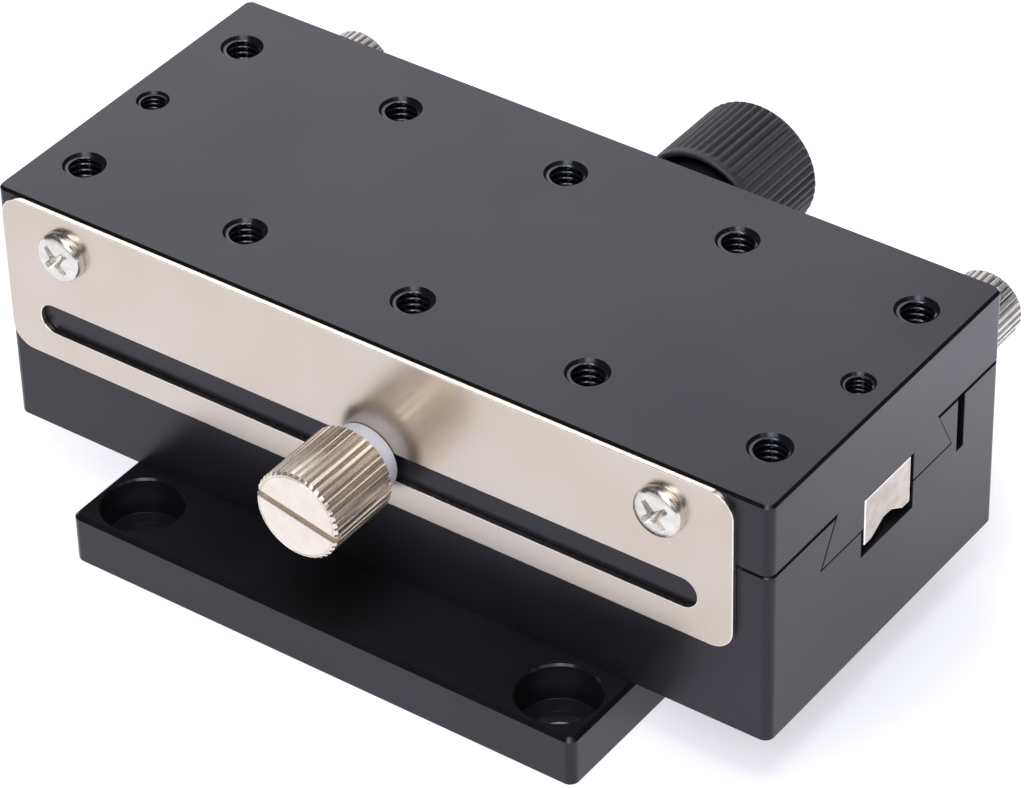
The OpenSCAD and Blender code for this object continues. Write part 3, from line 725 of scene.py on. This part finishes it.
def threaded_sleeve(radius, depth, pitch, thread, mouth):
    """Wall of a tapped hole with its thread, from the bottom of the mouth's bevel down."""
    wall = 0.04
    rows_per_turn = 12
    bevel = 0.25 * thread
    start = mouth + bevel
    lead_in = 0.01
    count = int((depth - start) / pitch * rows_per_turn)
    rows = [(radius, -mouth), (radius - bevel, -start)]
    for i in range(count + 1):
        down = start + lead_in + (depth - start - lead_in) * i / count
        rows.append((radius, -down, 0, 1))
    return [(radius + wall, -depth), (radius + wall, -mouth)] + rows + [(radius + wall, -depth)]


TABLE_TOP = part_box("table")[1].z / MM
M4 = {"radius": 2.0, "pitch": 0.7, "thread": 0.38}
M3 = {"radius": 1.5, "pitch": 0.5, "thread": 0.27}
STEPS_ROUND = 48
# Depths of the tapped holes' threads, and distances between the outer holes of each row
TABLE_M4_DEPTH = 6.45
TABLE_M4_LENGTH = 80
TABLE_M4_WIDTH = 25
TABLE_M3_DEPTH = 5.45
TABLE_M3_LENGTH = 83
GIB_SET_LENGTH = 38
PLATE_SCREW_LENGTH = 70


def tapped(size, depth, mouth=0.2):
    """Mesh of one tapped hole's wall, drawn down from its mouth."""
    points = threaded_sleeve(size["radius"], depth, size["pitch"], size["thread"], mouth)
    return turned(points, "black_cut", STEPS_ROUND, pitch=size["pitch"], thread=size["thread"])


def repeated(mesh, columns, rows, length, width, slot):
    """Copies of a piece on a grid in X and Y, as one mesh."""
    return grown(mesh, REPEAT, {
        "Columns": columns, "Rows": rows, "Length": length * MM, "Width": width * MM,
        "Material": MATERIALS[slot]})


m4_holes = repeated(tapped(M4, TABLE_M4_DEPTH), 5, 2, TABLE_M4_LENGTH, TABLE_M4_WIDTH, "black_cut")
piece("table_threads_m4", m4_holes, "table", "black_anodised", matrix=place_at(0, 0, TABLE_TOP))
m3_holes = repeated(tapped(M3, TABLE_M3_DEPTH), 2, 1, TABLE_M3_LENGTH, 0, "black_cut")
piece("table_threads_m3", m3_holes, "table", "black_anodised", matrix=place_at(0, 0, TABLE_TOP))

BODY_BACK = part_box("body")[1].y / MM
_, SET_Z, _, SET_BACK = axis_of("gib_set_screws")
GIB_MOUTH = 0.05
gib_holes = repeated(tapped(M3, BODY_BACK - SET_BACK, GIB_MOUTH), 2, 1, GIB_SET_LENGTH, 0, "black_cut")
piece("gib_threads_m3", gib_holes, "body", "black_anodised", matrix=place_at(0, BODY_BACK, SET_Z, TO_BACK))


def threaded_rows(radius, low, high, pitch):
    """Profile rows of a threaded shank from low to high. The thread rises and runs out over a few rows."""
    rows_per_turn = 6
    rows_in, rows_out = 4, 6
    count = max(2, int((high - low) / pitch * rows_per_turn))
    rows = []
    for i in range(count + 1):
        share = min(1, i / rows_in, (count - i) / rows_out)
        rows.append((radius, low + (high - low) * i / count, 0, share))
    return rows


def screw_head(radius, length):
    """Profile of a fluted head from its shoulder to its end disc, where the flutes run out in a bevel."""
    return [
        (radius - 0.25, 0), (radius, 0.22, 1), (radius, length * 0.5, 1), (radius, length - 0.27, 1),
        (radius - 0.25, length - 0.02, 1), (radius - 0.28, length), (radius - 0.38, length),
        (radius - 0.42, length - 0.08), (radius - 0.46, length - 0.08), (radius - 0.5, length), (0, length)]


def driver_slot(width, depth, reach):
    """Cutter of a driver slot along X, drawn down from Z = 0, with its edges broken."""
    half = width / 2
    broken = 0.06
    above = 0.5
    outline = [(half, -depth), (half, -broken), (half + broken, 0), (half + broken, above),
               (-half - broken, above), (-half - broken, 0), (-half, -broken), (-half, -depth)]
    mesh = prism(outline, [(-reach, 1, 1), (reach, 1, 1)])
    mesh.transform(Matrix(((0, 0, 1, 0), (1, 0, 0, 0), (0, 1, 0, 0), (0, 0, 0, 1))))
    return mesh


SHANK_RADIUS = 1.45
STEPS_PER_FLUTE = 10


def thumb_screw(diameter, length, flutes, shank, slot_turn, finish_name):
    """Fluted thumb screw along Z from its shoulder, its thread below and a driver slot in its end."""
    radius = diameter / 2
    tip = 0.4
    points = [(0, -shank), (SHANK_RADIUS - tip, -shank)]
    points += threaded_rows(SHANK_RADIUS, -shank + tip, -0.3, M3["pitch"])
    points += [(SHANK_RADIUS, -0.05)] + screw_head(radius, length)
    mesh = turned(points, finish_name, flutes * STEPS_PER_FLUTE, flutes, radius,
                  depth=0.42, ridge=0.56, pitch=M3["pitch"], thread=0.25)
    cutter = driver_slot(width=0.7, depth=0.8, reach=diameter)
    cutter.transform(place_at(0, 0, length, 0, slot_turn))
    return cut_with(mesh, cutter)


LOCK_X, LOCK_Z, LOCK_FRONT, LOCK_TIP = axis_of("lock_screw")
LOCK_HEAD_D = 9.5
LOCK_HEAD_L = 8.8
LOCK_FLUTES = 38
LOCK_SLOT_TURN = -12
lock_shank = LOCK_TIP - LOCK_FRONT - LOCK_HEAD_L
piece("lock_screw_fluted",
      thumb_screw(LOCK_HEAD_D, LOCK_HEAD_L, LOCK_FLUTES, lock_shank, LOCK_SLOT_TURN, "nickel"),
      "lock_screw", "nickel", ["lock_screw"],
      place_at(LOCK_X, LOCK_FRONT + LOCK_HEAD_L, LOCK_Z, TO_FRONT))
GIB_HEAD_D = 7.5
GIB_HEAD_L = 7.0
GIB_FLUTES = 30
GIB_SLOT_TURN = 25
for side in ("left", "right"):
    gib_x, gib_z, gib_tip, gib_end = axis_of("gib_screw_" + side)
    gib_shank = gib_end - GIB_HEAD_L - gib_tip
    piece("gib_screw_%s_fluted" % side,
          thumb_screw(GIB_HEAD_D, GIB_HEAD_L, GIB_FLUTES, gib_shank, GIB_SLOT_TURN, "nickel_dull"),
          "gib_screw_" + side, "nickel", ["gib_screw_" + side],
          place_at(gib_x, gib_end - GIB_HEAD_L, gib_z, TO_BACK))


def drive_knob():
    """Black fluted knob along Z: recess and bore at its near end, set screw's hole, rounded far end."""
    radius = 7.3
    length = 11.6
    corner = 0.8
    corner_steps = 6
    flutes = 48
    points = [(0, 9.15), (2.55, 9.15), (2.55, 2.0), (2.65, 1.9), (6.5, 1.9), (6.6, 1.8), (6.6, 0.4),
              (6.65, 0.17), (6.79, 0.04), (6.95, 0), (7.1, 0.04), (7.2, 0.16), (7.25, 0.34), (7.25, 0.95),
              (radius, 1.25, 1), (radius, length / 2, 1), (radius, length - corner, 1)]
    for i in range(1, corner_steps + 1):
        turn = math.pi / 2 * i / corner_steps
        rise = corner * math.sin(turn)
        points.append((radius - corner + corner * math.cos(turn), length - corner + rise, 1))
    points += [(5.4, length), (5.1, length - 0.12), (0, length - 0.12)]
    mesh = turned(points, "knob_black", flutes * STEPS_PER_FLUTE, flutes, radius, depth=0.28, ridge=0.25)
    hole = turned([(0, 0), (1.5, 0), (1.5, 9), (0, 9)], "knob_black", 32)
    hole.transform(place_at(0, 0, 5.5, -90))
    return cut_with(mesh, hole)


KNOB_X, KNOB_Z, KNOB_FRONT, _ = axis_of("knob")
piece("knob_fluted", drive_knob(), "knob", "knob_black", ["knob"],
      place_at(KNOB_X, KNOB_FRONT, KNOB_Z, TO_BACK), sharp=50)


CROSS_TURN = 41
# Height of the head in the CAD, from which its seat is found
CAD_HEAD_H = 1.9


def pan_head_screw():
    """Pan head screw along Z with a cross recess."""
    points = [(0, -5.1), (1.1, -5.1), (1.45, -4.7), (1.45, 0), (2.5, 0), (2.6, 0.06), (2.63, 0.16),
              (2.63, 0.62), (2.6, 0.84), (2.5, 1.02), (2.3, 1.17), (1.95, 1.29), (1.5, 1.37), (1.0, 1.42),
              (0.5, 1.45), (0, 1.46)]
    mesh = turned(points, "nickel", 64)
    # Half the width of the cross's arms, their reach, and where they start to narrow
    arm, end, inner = 0.37, 1.72, 0.6
    cross = []
    for quarter in range(4):
        turn = Matrix.Rotation(math.radians(90 * quarter), 2)
        for x, y in ((end, -arm * 0.8), (end, arm * 0.8), (inner, arm), (arm * 1.25, arm * 1.25)):
            cross.append(tuple(turn @ Vector((x, y))))
    cutter = prism(cross, [(0.1, 0.3, 0.3), (1.3, 1, 1), (1.9, 1.15, 1.15)])
    cutter.transform(Matrix.Rotation(math.radians(CROSS_TURN), 4, "Z"))
    return cut_with(mesh, cutter)


PLATE_SCREW_X, PLATE_SCREW_Z, PLATE_SCREW_FRONT, _ = axis_of("lock_plate_screws")
pan_heads = repeated(pan_head_screw(), 2, 1, PLATE_SCREW_LENGTH, 0, "nickel_polished")
piece("lock_plate_screws_cross", pan_heads, "table", "nickel", ["lock_plate_screws"],
      place_at(PLATE_SCREW_X, PLATE_SCREW_FRONT + CAD_HEAD_H, PLATE_SCREW_Z, TO_FRONT))


def ring(inner, outer, height, corner):
    """Profile of a flat ring with broken edges, closed on itself."""
    return [(inner, corner), (inner + corner, 0), (outer - corner, 0), (outer - 0.3 * corner, 0.3 * corner),
            (outer, corner), (outer, height - corner), (outer - 0.3 * corner, height - 0.3 * corner),
            (outer - corner, height), (inner + corner, height), (inner, height - corner), (inner, corner)]


_, _, WASHER_FRONT, WASHER_BACK = axis_of("lock_washer")
piece("lock_washer_moulded", turned(ring(1.55, 3.7, WASHER_BACK - WASHER_FRONT, 0.14), "nylon", 96),
      "lock_washer", "nylon", ["lock_washer"], place_at(LOCK_X, WASHER_BACK, LOCK_Z, TO_FRONT))
